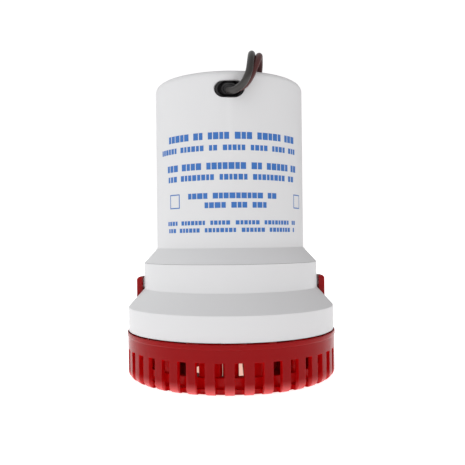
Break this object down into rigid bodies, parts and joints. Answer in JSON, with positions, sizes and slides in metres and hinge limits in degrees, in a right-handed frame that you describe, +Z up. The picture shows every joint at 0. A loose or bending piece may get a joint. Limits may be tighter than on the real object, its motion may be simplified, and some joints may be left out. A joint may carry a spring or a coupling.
{
  "type": "bilge pump",
  "caption": "Submersible bilge pump: white stepped motor housing with side hose nozzle on a slotted red snap-off strainer, rubber grommet and two supply leads.",
  "frame": {"origin": "centre of the strainer's flat underside, which screws to the bilge", "axes": "+Z up along the motor shaft; +Y the way the discharge nozzle points; the leads leave the front, -Y"},
  "size_m": [0.1129, 0.1645, 0.1583],
  "materials": {
    "housing_plastic": "satin moulded white plastic",
    "strainer_plastic": "satin moulded red plastic",
    "wet_end_plastic": "satin natural cream plastic",
    "rubber": "matte black rubber",
    "stainless_steel": "plain stainless steel",
    "motor_can_steel": "zinc-plated rolled steel",
    "phenolic": "brown moulded phenolic",
    "bronze": "sintered bronze",
    "ferrite": "dark ceramic magnet",
    "lamination": "varnished steel laminations",
    "copper": "enamelled copper",
    "carbon": "carbon brush",
    "ceramic": "dipped ceramic capacitor",
    "lead_black_insulation": "satin black wire insulation",
    "lead_brown_insulation": "satin red-brown wire insulation",
    "tinned_copper": "tinned copper strands",
    "tie_nylon": "natural nylon"
  },
  "bodies": {
    "strainer": {"strainer_basket": "strainer_plastic", "lead_coil": "lead_black_insulation", "coil_tie": "tie_nylon", "lead_black_end": "tinned_copper", "lead_brown_end": "tinned_copper"},
    "latch_left": {"latch_left": "strainer_plastic"},
    "latch_right": {"latch_right": "strainer_plastic"},
    "pump": {"pump_body": "housing_plastic", "discharge_nozzle": "housing_plastic", "inlet_plate": "wet_end_plastic", "inlet_plate_screw_1": "stainless_steel", "inlet_plate_screw_2": "stainless_steel", "inlet_plate_screw_3": "stainless_steel", "inlet_plate_screw_4": "stainless_steel", "shaft_seal": "rubber", "seal_retainer": "stainless_steel", "cap_o_ring": "rubber", "motor_can": "motor_can_steel", "lower_end_bell": "phenolic", "upper_end_bell": "phenolic", "lower_bearing": "bronze", "upper_bearing": "bronze", "magnet_left": "ferrite", "magnet_right": "ferrite", "through_bolt_1": "stainless_steel", "through_bolt_2": "stainless_steel", "motor_screw_1": "stainless_steel", "motor_screw_2": "stainless_steel", "motor_screw_3": "stainless_steel", "brush_holder_left": "bronze", "brush_holder_right": "bronze", "brush_spring_left": "stainless_steel", "brush_spring_right": "stainless_steel", "suppression_capacitor": "ceramic", "motor_cap": "housing_plastic", "grommet": "rubber", "lead_black_run": "lead_black_insulation", "lead_brown_run": "lead_brown_insulation", "inner_lead_black": "lead_black_insulation", "inner_lead_brown": "lead_brown_insulation"},
    "rotor": {"shaft": "stainless_steel", "impeller": "wet_end_plastic", "impeller_nut": "bronze", "armature_core": "lamination", "armature_winding": "copper", "commutator": "copper", "lower_thrust_washer": "stainless_steel", "upper_thrust_washer": "stainless_steel"},
    "brush_left": {"brush_left": "carbon"},
    "brush_right": {"brush_right": "carbon"}
  },
  "joints": [
    {"name": "housing_lift", "type": "slide", "parent": "strainer", "child": "pump", "axis": [0, 0, 1], "range_m": [0, 0.04]},
    {"name": "rotor_spin", "type": "hinge", "parent": "pump", "child": "rotor", "pos_m": [0, 0, 0.05], "axis": [0, 0, 1], "continuous": true},
    {"name": "latch_left_press", "type": "hinge", "parent": "strainer", "child": "latch_left", "pos_m": [-0.04745, 0, 0.011], "axis": [0, 1, 0], "range_deg": [0, 4], "stiffness_Nm_per_rad": 1.2},
    {"name": "latch_right_press", "type": "hinge", "parent": "strainer", "child": "latch_right", "pos_m": [0.04745, 0, 0.011], "axis": [0, -1, 0], "range_deg": [0, 4], "stiffness_Nm_per_rad": 1.2},
    {"name": "brush_left_slide", "type": "slide", "parent": "pump", "child": "brush_left", "axis": [-1, 0, 0], "range_m": [0, 0.0015], "stiffness_N_per_m": 60},
    {"name": "brush_right_slide", "type": "slide", "parent": "pump", "child": "brush_right", "axis": [1, 0, 0], "range_m": [0, 0.0015], "stiffness_N_per_m": 60}
  ]
}
